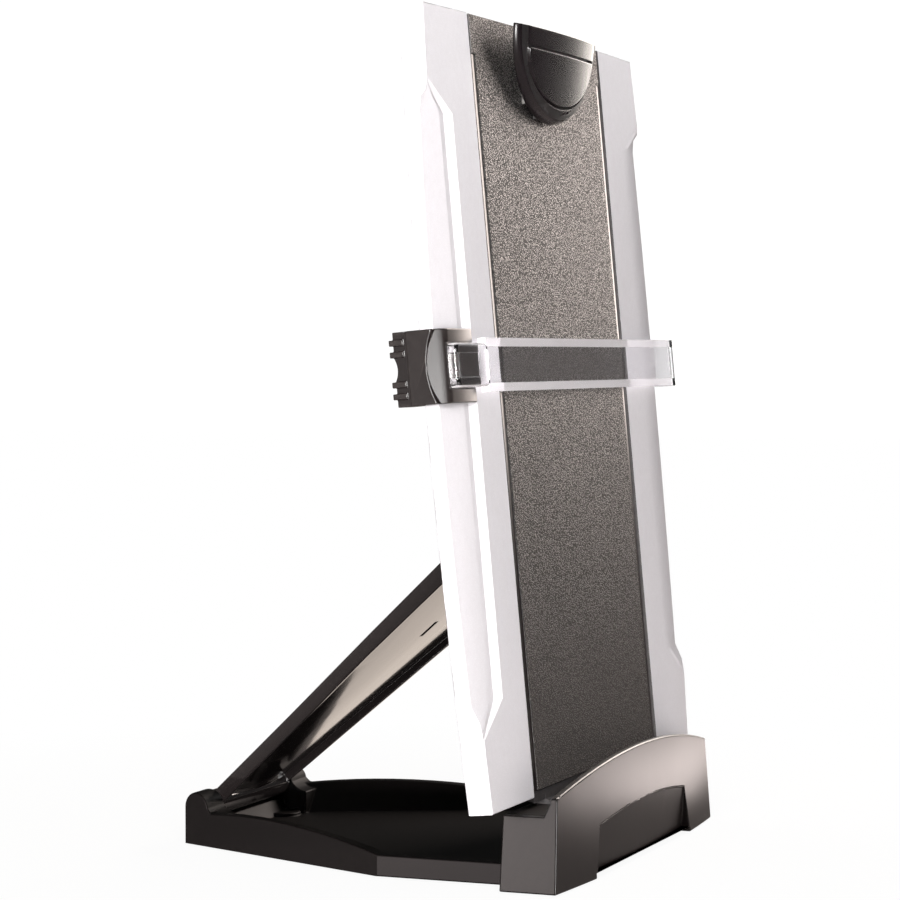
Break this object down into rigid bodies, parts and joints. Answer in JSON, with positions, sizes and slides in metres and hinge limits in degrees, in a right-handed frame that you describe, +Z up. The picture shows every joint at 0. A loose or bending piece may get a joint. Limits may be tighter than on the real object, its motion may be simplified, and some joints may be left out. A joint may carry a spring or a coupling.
{
  "type": "copy holder with line guide",
  "caption": "Upright desktop copy holder: tilting board on a base with a rear strut, a spring clip at the top and a sliding clear line guide.",
  "frame": {"origin": "middle of the holder's footprint, on the desk under its rubber feet", "axes": "+Z up, the board's face towards -Y, +X to the right as a reader faces the board"},
  "size_m": [0.276, 0.1882, 0.3383],
  "materials": {
    "silver_plastic": "fine satin grain",
    "pebbled_plastic": "coarse pebble grain",
    "dark_satin_plastic": "satin",
    "black_matt_plastic": "matt",
    "gloss_black_plastic": "high gloss",
    "clear_plastic": "clear, polished",
    "white_board": "gloss",
    "steel": "drawn",
    "rubber": "matt"
  },
  "bodies": {
    "base": {"base_tray": "dark_satin_plastic", "front_fascia": "dark_satin_plastic", "base_screws": "steel", "foot_front_left": "rubber", "foot_front_right": "rubber", "foot_rear_left": "rubber", "foot_rear_right": "rubber", "hinge_pin_left": "steel", "hinge_pin_right": "steel", "strut_hinge_rod": "steel"},
    "strut": {"easel_strut": "gloss_black_plastic", "strut_top_rod": "steel"},
    "board": {"board_front_shell": "silver_plastic", "board_back_cover": "black_matt_plastic", "shell_screws": "steel", "rack_screws": "steel", "memo_board": "white_board", "tilt_rack_left": "black_matt_plastic", "tilt_rack_right": "black_matt_plastic"},
    "panel": {"centre_panel": "pebbled_plastic", "clip_bracket": "steel", "clip_pin": "steel", "clip_spring": "steel"},
    "clip": {"clip_body": "dark_satin_plastic", "clip_jaw_pad": "rubber"},
    "guide": {"guide_bar": "clear_plastic", "guide_slider": "dark_satin_plastic", "guide_grip": "dark_satin_plastic", "guide_pad": "rubber"}
  },
  "joints": [
    {"name": "board_tilt", "type": "hinge", "parent": "base", "child": "board", "pos_m": [0, -0.0759, 0.026], "axis": [-1, 0, 0], "range_deg": [0, 20]},
    {"name": "strut_swing", "type": "hinge", "parent": "base", "child": "strut", "pos_m": [0, 0.0876, 0.0162], "axis": [-1, 0, 0], "range_deg": [0, 26]},
    {"name": "panel_slide", "type": "slide", "parent": "board", "child": "panel", "axis": [0, 0.0924, 0.9957], "range_m": [0, 0.12]},
    {"name": "clip_open", "type": "hinge", "parent": "panel", "child": "clip", "pos_m": [0, -0.05168, 0.31853], "axis": [-1, 0, 0], "range_deg": [0, 10], "stiffness_Nm_per_rad": 0.15, "springref_deg": -28.65},
    {"name": "guide_slide", "type": "slide", "parent": "board", "child": "guide", "axis": [0, 0.0924, 0.9957], "range_m": [-0.11, 0.08]}
  ],
  "couplings": [
    {"joint": "strut_swing", "follows": "board_tilt", "ratio": 1.2913}
  ]
}
